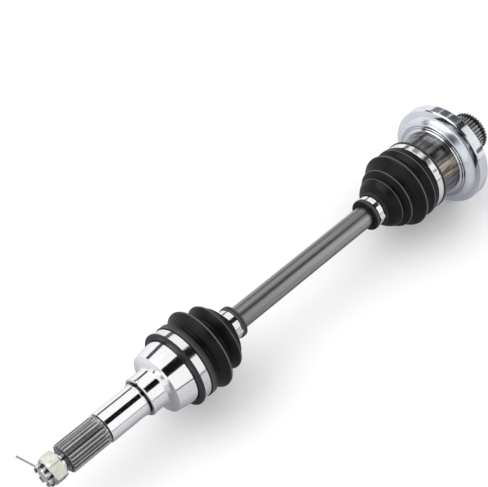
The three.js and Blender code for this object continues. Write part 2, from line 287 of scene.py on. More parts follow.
class Shader:
    """A small helper that adds nodes to one Principled material."""

    def __init__(self, name):
        self.material = bpy.data.materials.new(name)
        self.material.use_nodes = True
        self.tree = self.material.node_tree
        self.surface = self.tree.nodes["Principled BSDF"]
        self.coords = self.tree.nodes.new("ShaderNodeTexCoord").outputs["Object"]

    def node(self, kind, **settings):
        made = self.tree.nodes.new(kind)
        for key, value in settings.items():
            setattr(made, key, value)
        return made

    def link(self, output, target):
        self.tree.links.new(output, target)

    def stretched(self, scale):
        """Object coordinates multiplied by a scale in each direction."""
        mapping = self.node("ShaderNodeMapping")
        mapping.inputs["Scale"].default_value = scale
        self.link(self.coords, mapping.inputs["Vector"])
        return mapping.outputs["Vector"]

    def noise(self, scale, detail=3.0, roughness=0.55):
        texture = self.node("ShaderNodeTexNoise")
        texture.inputs["Scale"].default_value = 1.0
        texture.inputs["Detail"].default_value = detail
        texture.inputs["Roughness"].default_value = roughness
        self.link(self.stretched(scale), texture.inputs["Vector"])
        return texture.outputs["Fac"]

    def ramp(self, value, stops):
        """stops is a list of (position, colour or grey)."""
        made = self.node("ShaderNodeValToRGB")
        elements = made.color_ramp.elements
        while len(elements) < len(stops):
            elements.new(0.5)
        for element, (position, colour) in zip(elements, stops):
            element.position = position
            element.color = (*colour, 1) if isinstance(colour, tuple) else (colour,) * 3 + (1,)
        self.link(value, made.inputs["Fac"])
        return made.outputs["Color"]

    def spread(self, value, low, high):
        """Maps 0.3..0.7, where a noise mostly lies, to low..high."""
        made = self.node("ShaderNodeMapRange")
        made.inputs["From Min"].default_value = 0.3
        made.inputs["From Max"].default_value = 0.7
        made.inputs["To Min"].default_value = low
        made.inputs["To Max"].default_value = high
        self.link(value, made.inputs["Value"])
        return made.outputs["Result"]

    def marked(self, layer, low=0.0, high=1.0):
        """What mark() stored on the mesh, mapped from 0..1 to low..high."""
        attribute = self.node("ShaderNodeAttribute", attribute_name=layer)
        made = self.node("ShaderNodeMapRange")
        made.inputs["To Min"].default_value = low
        made.inputs["To Max"].default_value = high
        self.link(attribute.outputs["Fac"], made.inputs["Value"])
        return made.outputs["Result"]

    def product(self, first, second):
        made = self.node("ShaderNodeMath", operation="MULTIPLY")
        self.link(first, made.inputs[0])
        self.link(second, made.inputs[1])
        return made.outputs[0]

    def blended(self, factor, under, over):
        """One colour laid over another. over may be a plain colour."""
        made = self.node("ShaderNodeMix", data_type="RGBA")
        self.link(factor, made.inputs[0])
        self.link(under, made.inputs[6])
        if isinstance(over, bpy.types.NodeSocket):
            self.link(over, made.inputs[7])
        else:
            made.inputs[7].default_value = (*over, 1)
        return made.outputs[2]

    def bump(self, height, distance, strength=1.0, under=None):
        made = self.node("ShaderNodeBump")
        made.inputs["Distance"].default_value = distance * MM
        made.inputs["Strength"].default_value = strength
        self.link(height, made.inputs["Height"])
        if under is not None:
            self.link(under, made.inputs["Normal"])
        return made.outputs["Normal"]

    def set(self, **inputs):
        for key, value in inputs.items():
            socket = self.surface.inputs[key.replace("_", " ")]
            if isinstance(value, bpy.types.NodeSocket):
                self.link(value, socket)
            else:
                socket.default_value = value


# Colour of the painted shade laid in grooves, roots, bores, corners and steps.
PAINTED_SHADE_COLOUR = (0.018, 0.017, 0.016)


def turned_metal(name, dark, light, rough, mark_depth=0.004):
    """Metal finished on a lathe: fine rings along X, faint blotches, wear, and painted shade in its grooves and
    corners.
    """
    shader = Shader(name)
    rings = shader.noise((2200, 18, 18), detail=4)
    blotch = shader.noise((12, 12, 12), detail=4)
    wear = shader.noise((420, 420, 420), detail=6, roughness=0.7)
    mixed = shader.product(blotch, shader.spread(rings, 0.85, 1.1))
    metal = shader.ramp(mixed, [(0.3, dark), (0.62, light)])
    # Painted shade, where mark() stored it, broken up by the wear noise.
    shade_amount = shader.product(shader.marked("painted_shade"), shader.spread(wear, 0.75, 1.0))
    grain = shader.bump(rings, mark_depth)
    shader.set(
        Base_Color=shader.blended(shade_amount, metal, PAINTED_SHADE_COLOUR),
        Metallic=1.0,
        Roughness=shader.spread(wear, *rough),
        Normal=shader.bump(wear, mark_depth * 0.6, under=grain),
    )
    return shader.material


def shaft_metal():
    """Ground bar: fine streaks along its length and faint grinding rings."""
    shader = Shader("satin_steel")
    along = shader.noise((10, 1300, 1300), detail=5, roughness=0.65)
    rings = shader.noise((900, 90, 90), detail=6, roughness=0.7)
    broad = shader.noise((3, 150, 150), detail=2)
    mixed = shader.node("ShaderNodeMath", operation="MULTIPLY_ADD")
    shader.link(along, mixed.inputs[0])
    mixed.inputs[1].default_value = 0.6
    shader.link(shader.spread(broad, 0.05, 0.4), mixed.inputs[2])
    colour = shader.ramp(mixed.outputs[0], [(0.28, (0.15, 0.15, 0.152)), (0.72, (0.50, 0.50, 0.505))])
    grain = shader.bump(along, 0.016)
    shader.set(
        Base_Color=colour,
        Metallic=1.0,
        Roughness=shader.spread(rings, 0.26, 0.38),
        Normal=shader.bump(rings, 0.012, under=grain),
    )
    return shader.material


def rubber_material():
    """Moulded rubber: deep black with a fine grain, with painted grey highlights along its crests and lips."""
    shader = Shader("boot_rubber")
    grain = shader.noise((1000, 1000, 1000), detail=6, roughness=0.7)
    bloom = shader.noise((38, 30, 30), detail=5, roughness=0.6)
    rings = shader.noise((900, 12, 12), detail=2)
    black = shader.ramp(bloom, [(0.3, (0.0018, 0.0018, 0.002)), (0.75, (0.006, 0.006, 0.0065))])
    # Painted highlights: the marked crests and lips are lightened to grey, broken up by the grain.
    crest_highlights = shader.product(shader.marked("crest"), shader.spread(grain, 0.55, 1.1))
    fine = shader.bump(grain, 0.07, strength=0.7)
    shader.set(
        Base_Color=shader.blended(crest_highlights, black, (0.30, 0.30, 0.305)),
        Roughness=shader.spread(bloom, 0.34, 0.46),
        Specular_IOR_Level=0.21,
        Normal=shader.bump(rings, 0.02, strength=0.5, under=fine),
    )
    return shader.material


def gearbox_cup_steel():
    """The gearbox cup: burnished steel with painted warm, pale and dark reflection streaks along its length."""
    shader = Shader("dark_steel")
    rings = shader.noise((2600, 14, 14), detail=4)
    # Painted reflections: streaks of dark, warm and pale tones along the cup stand in for what it reflects.
    streaks = shader.noise((4, 52, 52), detail=3, roughness=0.6)
    colour = shader.ramp(streaks, [
        (0.34, (0.045, 0.044, 0.046)),
        (0.42, (0.24, 0.23, 0.235)),
        (0.48, (0.085, 0.08, 0.078)),
        (0.535, (0.50, 0.44, 0.35)),
        (0.565, (0.11, 0.10, 0.10)),
        (0.66, (0.50, 0.48, 0.50)),
    ])
    shader.set(
        # Painted shade where mark() stored it.
        Base_Color=shader.blended(shader.marked("painted_shade"), colour, PAINTED_SHADE_COLOUR),
        Metallic=1.0,
        Roughness=shader.spread(rings, 0.17, 0.27),
        Normal=shader.bump(rings, 0.003),
    )
    return shader.material


def plated(name, dark, light, rough, grain, broad_scale):
    """Zinc plate: a soft spangle under a thin clear passivation, smoother where it is polished."""
    shader = Shader(name)
    spangle = shader.noise((160, 160, 160), detail=6, roughness=0.7)
    broad = shader.noise((broad_scale,) * 3, detail=4)
    rings = shader.noise((900, 20, 20), detail=2)
    colour = shader.ramp(broad, [(0.32, dark), (0.68, light)])
    shader.set(
        # Painted shade where mark() stored it.
        Base_Color=shader.blended(shader.marked("painted_shade"), colour, PAINTED_SHADE_COLOUR),
        Metallic=1.0,
        Roughness=shader.product(shader.spread(spangle, *rough), shader.marked("polish", 1.0, 0.4)),
        Normal=shader.bump(spangle, grain, under=shader.bump(rings, grain * 0.5)),
    )
    return shader.material


MATERIALS = {
    "satin_steel": shaft_metal(),
    "bright_steel": turned_metal(
        "bright_steel", (0.88, 0.88, 0.90), (0.97, 0.97, 0.98), (0.07, 0.13), mark_depth=0.0012),
    "spline_steel": turned_metal(
        "spline_steel", (0.25, 0.25, 0.26), (0.57, 0.57, 0.58), (0.2, 0.36), mark_depth=0.003),
    "crown_steel": turned_metal("crown_steel", (0.72, 0.72, 0.74), (0.95, 0.95, 0.96), (0.16, 0.28)),
    "dark_steel": gearbox_cup_steel(),
    "bearing_steel": turned_metal(
        "bearing_steel", (0.5, 0.5, 0.52), (0.68, 0.68, 0.7), (0.08, 0.16), mark_depth=0.0015),
    "spring_steel": turned_metal("spring_steel", (0.02, 0.02, 0.022), (0.06, 0.06, 0.065), (0.25, 0.4)),
    "stainless": turned_metal(
        "stainless", (0.80, 0.80, 0.82), (0.94, 0.94, 0.95), (0.10, 0.18), mark_depth=0.0016),
    "flange_zinc": plated(
        "flange_zinc", (0.74, 0.77, 0.83), (0.88, 0.90, 0.95), (0.26, 0.34), grain=0.003, broad_scale=24),
    "nut_zinc": plated(
        "nut_zinc", (0.70, 0.70, 0.62), (0.92, 0.92, 0.86), (0.28, 0.44), grain=0.02, broad_scale=180),
    "pin_wire": turned_metal(
        "pin_wire", (0.22, 0.22, 0.23), (0.38, 0.38, 0.39), (0.25, 0.4), mark_depth=0.003),
    "boot_rubber": rubber_material(),
}


def finished(obj, body, material, *nodes):
    """Gives a piece its material, its body and the CAD nodes that it stands for."""
    obj.data.materials.clear()
    obj.data.materials.append(MATERIALS[material])
    if nodes:
        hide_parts(*nodes)
    if body:
        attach(obj, body)


# ---------------------------------------------------------------- shaft

def build_shaft():
    low, high = (corner.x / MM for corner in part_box("shaft"))
    radius = 10.8
    waist = 9.5
    neck = 8.0
    corners = [
        (low, 0, 0),
        (low, neck, 0.6),
        (OUTER + 22, neck, 2),
        (OUTER + 30, waist, 4),
        (OUTER + 61, waist, 4),
        (OUTER + 66, radius, 4),
        (INNER - 83, radius, 4),
        (INNER - 78, waist, 4),
        (INNER - 30, waist, 4),
        (INNER - 22, neck, 2),
        (high, neck, 0.6),
        (high, 0, 0),
    ]
    finished(revolved("shaft_bar", filleted(corners)), "shaft", "satin_steel", "shaft")
    half_race = 9.5
    for name, centre in (("outer", OUTER), ("inner", INNER)):
        build_spline(f"shaft_{name}_spline", centre - half_race, centre + half_race, 8.8, 7.8, 14, "shaft",
                     "satin_steel", chamfer=1.0)


def tooth_depth(angle, teeth):
    """0 at a spline's root and 1 on its tip, with slanting flanks."""
    root_share, flank_share = 0.30, 0.36
    place = abs(((angle * teeth / TURN) % 1) * 2 - 1)
    return min(1.0, max(0.0, (place - root_share) / flank_share))


def build_spline(name, start, end, tip, root, teeth, body, material, chamfer=0.01, run_out=0.0, end_face=()):
    """Spline teeth with a chamfer at the start and a run-out at the end.

    end_face holds (x, radius) points between the last teeth and the centre line.
    """
    face = root - 1.5
    chamfer_low = root - 1.2
    sides_per_tooth = 16

    def radius_at(x, r, angle):
        if r < face:
            return r
        ramp = min(1.0, max(0.0, (x - start) / chamfer))
        limit = chamfer_low + (tip - chamfer_low) * ramp
        rise = max(0.0, (x - end + run_out) / run_out) ** 2 if run_out else 0.0
        floor = root + (tip - root) * rise
        tooth = floor + (tip - floor) * tooth_depth(angle, teeth)
        return min(tooth, limit)

    stations = stretches(start, start + chamfer, 4) + stretches(start + chamfer + 0.5, end, 14)
    outline = [(start, 0), *[(x, tip) for x in stations], *(end_face or [(end, 0)])]
    obj = revolved(name, outline, sides=teeth * sides_per_tooth, radius_at=radius_at)
    smooth(obj, 25)
    # Painted shade in the roots and at both ends of the teeth.
    mark(obj, "painted_shade", spline_shade(start, end, tip, root, run_out, face))
    finished(obj, body, material)


def spline_shade(start, end, tip, root, run_out, face):
    """A value_at for mark: painted shade fills the roots, and least of it lies on the end face."""
    on_face, at_start, in_run_out, at_end, in_root = 0.2, 0.5, 0.3, 0.9, 0.72
    start_band, end_band = 0.1, 0.45
    shaded_depth = 0.7 * (tip - root)

    def value_at(x, r):
        if r < face:
            return on_face
        if x < start + start_band:
            return at_start
        if x > end - run_out:
            return in_run_out
        if x > end - end_band:
            return at_end
        return in_root * max(0.0, 1 - (r - root) / shaded_depth)
    return value_at


# ---------------------------------------------------------------- wheel stub and outer cup

def build_wheel_stub():
    spline_start, spline_end = OUTER - 120.85, OUTER - 80.55
    journal, collar, cup = 14.65, 18.1, 31.0
    groove_start, groove_end, groove = OUTER - 39.8, OUTER - 38.5, 14.2
    mouth = OUTER + 12.9
    cavity, ball_depth = 22.9, 8
    corners = [
        (spline_end - 0.4, 0, 0),
        (spline_end - 0.4, 12.4, 0),
        (spline_end + 0.5, 12.4, 0.3),
        (spline_end + 1.3, journal, 0.25),
        (OUTER - 41.4, journal, 0.1),
        (OUTER - 41.1, 15.6, 0.2),
        (OUTER - 40.1, 15.6, 0.2),
        (groove_start, groove, 0.1),
        (groove_end, groove, 0.1),
        (OUTER - 38.2, 17.4, 0.3),
        (OUTER - 37.0, 18.6, 0.4),
        (OUTER - 35.4, 18.6, 0.4),
        (OUTER - 35.0, collar, 0.2),
        (OUTER - 22.3, collar, 2.2),
        (OUTER - 20.6, 23.6, 2.5),
        (OUTER - 18.6, 28.6, 0.35),
        (OUTER - 0.7, 31.3, 0.4),
        (OUTER + 0.3, cup, 0.3),
        (mouth, cup, 0.4),
        (mouth, 27.5, 0.5),
        (OUTER + ball_depth, math.sqrt(cavity ** 2 - ball_depth ** 2), 0.3),
    ]
    first = math.acos(ball_depth / cavity)
    inside = [
        (OUTER + cavity * math.cos(angle), cavity * math.sin(angle))
        for angle in stretches(first, math.pi, 18)[1:]
    ]
    inside[-1] = (inside[-1][0], 0)
    body = revolved("wheel_stub_body", filleted(corners) + inside, sides=144)
    groove_middle = (groove_start + groove_end) / 2
    # Painted shade in the corner behind the spline and in the groove beside the collar.
    mark(body, "painted_shade", peaks([(spline_end + 0.4, 0.95, 1.0), (groove_middle, 1.6, 1.6)]))
    finished(body, "wheel_joint", "bright_steel", "wheel_stub")
    build_spline("wheel_spline", spline_start, spline_end, 13.9, 12.5, 26, "wheel_joint", "spline_steel",
                 chamfer=1.6, run_out=2.0)
    build_thread(OUTER - 141.8, spline_start)


def build_thread(start, spline_start):
    """Thread with a real helix, a lead-in chamfer and a plain neck up to the spline."""
    tip, root, pitch = 8.0, 7.05, 1.5
    end_radius, flank_slope = 6.7, 1.25
    run_out = OUTER - 124.2
    end = spline_start + 0.2

    def radius_at(x, r, angle):
        if r < 1 or x > run_out:
            return min(r, root)
        wave = abs(((x / pitch - angle / TURN) % 1) * 2 - 1)
        lead_in = end_radius + (x - start)
        return min(root + (tip - root) * min(1, wave * flank_slope), lead_in)

    neck = [run_out + 0.3, spline_start - 1.9, spline_start - 1.4, end]
    stations = stretches(start, run_out, 96) + neck
    outline = [(start, 0), *[(x, tip) for x in stations], (end, 0)]
    thread = revolved("stub_thread", outline, sides=72, radius_at=radius_at)
    cut(thread, [pin_hole()])
    smooth(thread, 40)
    # Painted shade in the thread's grooves and on the neck between nut and spline.
    mark(thread, "painted_shade", thread_shade(root, spline_start))
    finished(thread, "wheel_joint", "bright_steel")


def pin_hole():
    """A round cutting tool across the axle, for the split pin's hole."""
    reach, radius = 20, 2.2
    hole = revolved("hole", [(-reach, 0), (-reach, radius), (reach, radius), (reach, 0)], sides=24)
    hole.data.transform(Matrix.Rotation(math.radians(90), 4, "Z"))
    hole.data.transform(Matrix.Translation((PIN_STATION * MM, 0, 0)))
    return about_axle(hole, SLOT_ANGLE)


def thread_shade(root, spline_start):
    """A value_at for mark: painted shade in the outer turns' grooves and on the neck beside the spline."""
    darkest, groove_depth, below_root = 0.85, 0.5, 0.3
    grooves_end = OUTER - 130
    neck_start = spline_start - 1.5

    def value_at(x, r):
        if x > neck_start:
            return darkest
        if x < grooves_end and root - below_root < r < root + groove_depth:
            return darkest * min(1.0, 1 - (r - root) / groove_depth)
        return 0.0
    return value_at


# ---------------------------------------------------------------- nut and pin

CROWN_START, CROWN_END, NUT_END = OUTER - 142.75, OUTER - 136.85, OUTER - 125.25
NUT_BORE = 8.25
SLOT_DEPTH = 5.6


def crown_slots():
    """Three cutting tools across the crown, which make six slots."""
    slots = []
    for i in range(3):
        slot = box_mesh(f"slot_{i}", (2 * SLOT_DEPTH, 40, 4.4), (CROWN_START, 0, 0))
        slots.append(about_axle(slot, SLOT_ANGLE + 60 * i))
    return slots


def build_nut_hexagon():
    """The nut's plated hexagon, with its corners turned off at both ends."""
    start, end = CROWN_END, NUT_END
    half_width = 12.0
    corner = half_width / math.cos(math.radians(30))
    past_corner, face = corner + 0.2, half_width + 0.1
    front, rear = start + 1.25, end - 1.0
    first_corner = math.radians(111)

    def radius_at(x, r, angle):
        if r < half_width - 0.5:
            return r
        turn = math.radians(60)
        off = (angle - first_corner + turn / 2) % turn - turn / 2
        side = half_width / math.cos(turn / 2 - abs(off))
        return min(side, r)

    outline = filleted([
        (start, NUT_BORE, 0),
        (start, face, 0.15),
        (front, past_corner, 0),
        (rear, past_corner, 0),
        (end, face, 0.15),
        (end, NUT_BORE + 0.8, 0.1),
        (end - 0.8, NUT_BORE, 0.1),
        (start, NUT_BORE, 0),
    ], steps=3)[:-1]
    # More stations along the flats keep their faces short, so that the painted shade stays at the edges.
    bend = outline.index((rear, past_corner))
    outline[bend:bend] = [(x, past_corner) for x in stretches(front, rear, 6)[1:-1]]
    hexagon = revolved("castle_nut_hexagon", outline, sides=180, radius_at=radius_at, closed=True,
                       start_angle=first_corner)
    bevel_edges(hexagon, 0.2)
    edge_width, edge_shade = 0.42, 0.62

    def shade_at(x, r):
        """Painted shade darkens the six long edges."""
        return edge_shade * max(0.0, 1 - (corner - r) / edge_width) if x < rear else 0.0

    mark(hexagon, "painted_shade", shade_at)
    finished(hexagon, "wheel_joint", "nut_zinc", "castle_nut")


def build_nut_crown():
    """The nut's bright turned crown with six slots."""
    start, end = CROWN_START, CROWN_END
    outside, shoulder = 10.4, 11.3
    crown = revolved("castle_nut_crown", filleted([
        (start, NUT_BORE + 0.6, 0),
        (start, 9.7, 0.3),
        (start + 0.9, outside, 0.4),
        (end - 0.7, outside, 0.4),
        (end, shoulder, 0.1),
        (end + 0.4, shoulder, 0),
        (end + 0.4, NUT_BORE, 0),
        (start + 0.7, NUT_BORE, 0.1),
        (start, NUT_BORE + 0.6, 0),
    ], steps=3)[:-1], sides=180, closed=True)
    cut(crown, crown_slots())
    bevel_edges(crown, 0.22)
    slot_floor = start + SLOT_DEPTH

    def shade_at(x, r):
        """Painted shade lies in the bore and on the floors of the slots."""
        in_slot = x > slot_floor - 0.9 and r < outside + 0.1
        return 0.9 if r < NUT_BORE + 0.2 or in_slot else 0.0

    mark(crown, "painted_shade", shade_at)
    finished(crown, "wheel_joint", "crown_steel", "castle_nut")


def build_pin():
    """Split pin: one long leg leans out of the nut, the other ends inside its slot."""
    start = AXLE_START + 0.9
    centre = PIN_STATION
    leg, wire = 0.95, 0.85
    route = [
        (start, 27.5, -10.6),
        (centre - leg - 0.6, 11, -1.2),
        (centre - leg, 8.6, 0),
        (centre - leg, -8.4, 0),
        (centre - 1.3, -9.8, 0),
        (centre - 0.7, -11.2, 0),
        (centre + 0.7, -11.2, 0),
        (centre + 1.3, -9.8, 0),
        (centre + leg, -8.4, 0),
        (centre + leg, 9.6, 0),
    ]
    pin = swept("split_pin", rounded_route(route), wire)
    about_axle(pin, SLOT_ANGLE)
    finished(pin, "wheel_joint", "pin_wire", "cotter_pin")


def rounded_route(route):
    """Cuts the corners of a polyline three times, so that it bends smoothly."""
    near, far = 0.8, 0.2
    for _ in range(3):
        softer = [route[0]]
        for a, b in zip(route, route[1:]):
            softer.append(tuple(near * p + far * q for p, q in zip(a, b)))
            softer.append(tuple(far * p + near * q for p, q in zip(a, b)))
        route = softer + [route[-1]]
    return route


# ---------------------------------------------------------------- boots and clamps

BOOT_WALL = 2.2
BOOT_BORE = 11.2


def shell(outside, inside):
    """A closed outline from an outside and an inside that both run along +X."""
    return outside + inside[::-1]


def between(outline, start, end):
    """The stretch of an outline from one station to another, cut square at its ends."""
    kept = [p for p in outline if start < p[0] < end]
    return [point_at(outline, start), *kept, point_at(outline, end)]


def point_at(outline, x):
    """The outline's point at a station, or its nearer end where it doesn't reach that far."""
    for (x0, r0), (x1, r1) in zip(outline, outline[1:]):
        if min(x0, x1) <= x <= max(x0, x1) and x0 != x1:
            return (x, r0 + (r1 - r0) * (x - x0) / (x1 - x0))
    return outline[0] if x < outline[0][0] else outline[-1]


def build_boot_part(name, outside, inside, crest_highlights, span, node):
    """One length of a boot between the span's two stations, cut square at both ends.
    """
    part = revolved(name, shell(between(outside, *span), between(inside, *span)), sides=144, closed=True)
    # The crest layer holds painted highlights along the crests and lips.
    mark(part, "crest", peaks(crest_highlights))
    finished(part, None, "boot_rubber", node)
    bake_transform(part)


def build_outer_boot():
    start, end = 1.1, 75.5
    crest = 32.5
    seat = 31.5
    outside = moved(filleted([
        (start, seat, 0),
        (start, 36.4, 0.6),
        (3.8, 36.4, 0.6),
        (4.1, 33.6, 0.2),
        (12.2, 33.6, 0.2),
        (12.5, 35.8, 0.6),
        (18.4, 35.8, 1.2),
        (20.6, 31.6, 2.0),
        (22.6, 30.6, 1.5),
        (crest, 41.4, 3.6),
        (41.0, 24.6, 1.8),
        (49.9, 33.8, 2.8),
        (55.8, 25.6, 1.0),
        (56.8, 25.8, 0.5),
        (58.6, 23.6, 0.6),
        (59.4, 21.2, 1.0),
        (63.2, 13.4, 1.6),
        (70.4, 13.4, 0.2),
        (70.6, 15.6, 0.4),
        (72.3, 15.6, 0.4),
        (72.8, 14.9, 0.2),
        (73.3, 15.6, 0.4),
        (end, 15.3, 0.6),
        (end, BOOT_BORE, 0),
    ], steps=10), OUTER)
    inside = moved(filleted([
        (start, seat, 0),
        (14.0, seat, 0.5),
        (22.4, 30.2 - BOOT_WALL, 1.5),
        (crest, 39.2 - BOOT_WALL, 3),
        (41.0, 25.4 - BOOT_WALL, 1.5),
        (49.6, 31.6 - BOOT_WALL, 2),
        (57.0, 23.0 - BOOT_WALL, 1),
        (62.6, BOOT_BORE, 1),
        (end, BOOT_BORE, 0),
    ]), OUTER)
    # Crests and lips that get painted highlights, as (station, reach, strength).
    crest_highlights = moved([
        (2.4, 2.0, 0.16), (13.1, 0.5, 0.3), (15.4, 4.0, 0.14), (crest, 0.6, 0.75), (49.9, 0.6, 0.6),
        (70.9, 0.5, 0.4), (72.2, 0.35, 0.4), (73.6, 0.4, 0.4), (75.2, 0.4, 0.3),
    ], OUTER)
    seam = OUTER + crest
    build_boot_part("outer_boot_large_half", outside, inside, crest_highlights, (OUTER + start, seam),
                    "outer_boot")
    build_boot_part("outer_boot_small_half", outside, inside, crest_highlights, (seam, OUTER + end),
                    "outer_boot")


def build_inner_boot():
    start, end = -85.8, -9.1
    small_valley, large_valley = -48.8, -32.0
    seat = 32.9
    outside = moved(filleted([
        (start, BOOT_BORE, 0),
        (start, 15.7, 0.5),
        (-84.3, 16.1, 0.35),
        (-83.9, 15.3, 0.2),
        (-83.5, 16.1, 0.35),
        (-82.3, 16.1, 0.35),
        (-82.0, 15.4, 0.2),
        (-81.7, 16.0, 0.3),
        (-81.1, 14.4, 0.2),
        (-74.7, 14.4, 0.2),
        (-74.5, 16.7, 0.3),
        (-73.5, 16.7, 0.3),
        (-73.1, 16.1, 0.2),
        (-72.6, 17.2, 0.35),
        (-71.6, 17.2, 0.35),
        (-71.2, 16.5, 0.2),
        (-70.5, 17.6, 0.6),
        (-67.0, 23.0, 4.0),
        (-60.6, 27.2, 1.8),
        (-58.8, 22.4, 1.2),
        (-53.8, 33.4, 2.4),
        (small_valley, 26.4, 1.6),
        (-39.7, 40.4, 3.6),
        (large_valley, 32.6, 2.2),
        (-26.0, 37.6, 3.2),
        (-20.6, 36.8, 1.0),
        (-19.0, 34.8, 0.3),
        (-11.1, 34.8, 0.2),
        (-10.8, 36.8, 0.5),
        (end, 36.8, 0.5),
        (end, seat, 0),
    ], steps=10), INNER)
    inside = moved(filleted([
        (start, BOOT_BORE, 0),
        (-73.8, BOOT_BORE, 0.5),
        (-65.4, 20.6 - BOOT_WALL, 3),
        (-60.8, 25.4 - BOOT_WALL, 1),
        (-58.8, 22.6 - BOOT_WALL, 1),
        (-53.9, 31.2 - BOOT_WALL, 2),
        (small_valley, 27.0 - BOOT_WALL, 1),
        (-39.8, 37.6 - BOOT_WALL, 3),
        (large_valley, 33.0 - BOOT_WALL, 2),
        (-26.0, 36.4 - BOOT_WALL, 2),
        (-20.9, seat, 0.4),
        (end, seat, 0),
    ]), INNER)
    # Crests and lips that get painted highlights, as (station, reach, strength).
    crest_highlights = moved([
        (-84.5, 0.4, 0.45), (-83.3, 0.35, 0.45), (-82.4, 0.35, 0.4), (-74.1, 0.4, 0.4), (-72.3, 0.4, 0.45),
        (-61.4, 0.6, 0.6), (-53.6, 0.6, 0.75), (-39.6, 0.6, 0.8),
        (-26.2, 0.6, 0.5), (-10, 1.4, 0.25),
    ], INNER)
    first, second = INNER + small_valley, INNER + large_valley
    build_boot_part("inner_boot_small_third", outside, inside, crest_highlights, (INNER + start, first),
                    "inner_boot")
    build_boot_part("inner_boot_middle_third", outside, inside, crest_highlights, (first, second),
                    "inner_boot")
    build_boot_part("inner_boot_large_third", outside, inside, crest_highlights, (second, INNER + end),
                    "inner_boot")


def build_clamp(node, body, ear_degrees):
    """A rolled band with a lapped end and a pinched ear."""
    low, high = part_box(node)
    start, end = low.x / MM, high.x / MM
    radius = high.y / MM
    thickness = 0.6
    ear = math.radians(ear_degrees)
    ear_height, pinch = 0.9, 0.5
    lap_height = 0.32
    middle = (start + end) / 2
    pinch_reach = 0.3 * (end - start) / 2
    ear_half = 2.6 / radius
    lap_end = -3 * ear_half
    lap_start = lap_end - 16 / radius

    def radius_at(x, r, angle):
        off = (angle - ear + math.pi) % TURN - math.pi
        lift = 0.0
        if abs(off) < ear_half:
            lift = ear_height * (1 - (abs(off) / ear_half) ** 4)
            lift -= pinch * max(0.0, 1 - ((x - middle) / pinch_reach) ** 2)
        if r > radius - thickness / 2 and lap_start < off < lap_end:
            lift += lap_height
        return r + lift

    rim = filleted([
        (start, radius - thickness, 0),
        (start, radius, 0.22),
        (end, radius, 0.22),
        (end, radius - thickness, 0),
    ], steps=3)
    # More stations across the band give the pinch in its ear points to move.
    top = [p for p in rim if p[1] > radius - 0.01]
    before, after = rim[:rim.index(top[0]) + 1], rim[rim.index(top[-1]):]
    across = [(x, radius) for x in stretches(top[0][0], top[-1][0], 10)[1:-1]]
    band = revolved(f"{node}_band", before + across + after, sides=360, radius_at=radius_at, closed=True)
    smooth(band, 28)
    finished(band, body, "stainless", node)


# ---------------------------------------------------------------- gearbox cup and flange

def build_gearbox_cup():
    mouth, floor, back = INNER - 19.7, INNER + 25, INNER + 34
    bore, barrel = 22.9, 32.7
    stub_start = INNER + 39.5
    corners = [
        (mouth, bore, 0.3),
        (mouth, 32.4, 0.5),
        (INNER - 8.9, 32.4, 0.2),
        (INNER - 8.4, 31.7, 0.2),
        (INNER - 7.4, 31.7, 0.2),
        (INNER - 7.0, barrel, 0.3),
        (INNER + 12.6, barrel, 0.3),
        (INNER + 13.0, 32.0, 0.2),
        (INNER + 14.4, 32.0, 0.2),
        (INNER + 14.8, barrel, 0.2),
        (back - 3, barrel, 1.5),
        (back, 29.1, 1.0),
        (back, 22.6, 1.0),
        (back + 2.5, 21.4, 0.8),
        (stub_start - 0.8, 21.0, 0.5),
        (stub_start, 18.0, 0),
        (stub_start, 0, 0),
        (floor, 0, 0),
        (floor, bore, 2.0),
        (mouth, bore, 0),
    ]
    # The outline is opened on the centre line: the cup's inside comes first, then its outside.
    outline = filleted(corners)
    first = outline.index((stub_start, 0))
    outline = outline[first + 1:] + outline[1:first + 1]
    body = revolved("gearbox_cup_body", outline, sides=144)
    finished(body, "gearbox_joint", "dark_steel", "gearbox_cup")
    build_gearbox_spline(stub_start)


def build_gearbox_spline(start):
    """The stub's teeth, in two lengths with the circlip's groove between them."""
    end = AXLE_END
    groove_start, groove_end = end - 4.75, end - 2.55
    tip, root, teeth, face = 20.5, 19.1, 36, 16.5
    groove_wall = [(groove_start, face), (groove_start, 0)]
    drilled_end = [(end, face), (end, 4.4), (end - 0.4, 4.0), (end - 4.5, 1.6), (end - 7, 1.4), (end - 8, 0)]
    for name, low, high, end_face in (
        ("gearbox_spline", start, groove_start, groove_wall),
        ("gearbox_spline_tail", groove_end, end, drilled_end),
    ):
        build_spline(name, low, high, tip, root, teeth, "gearbox_joint", "spline_steel", end_face=end_face)


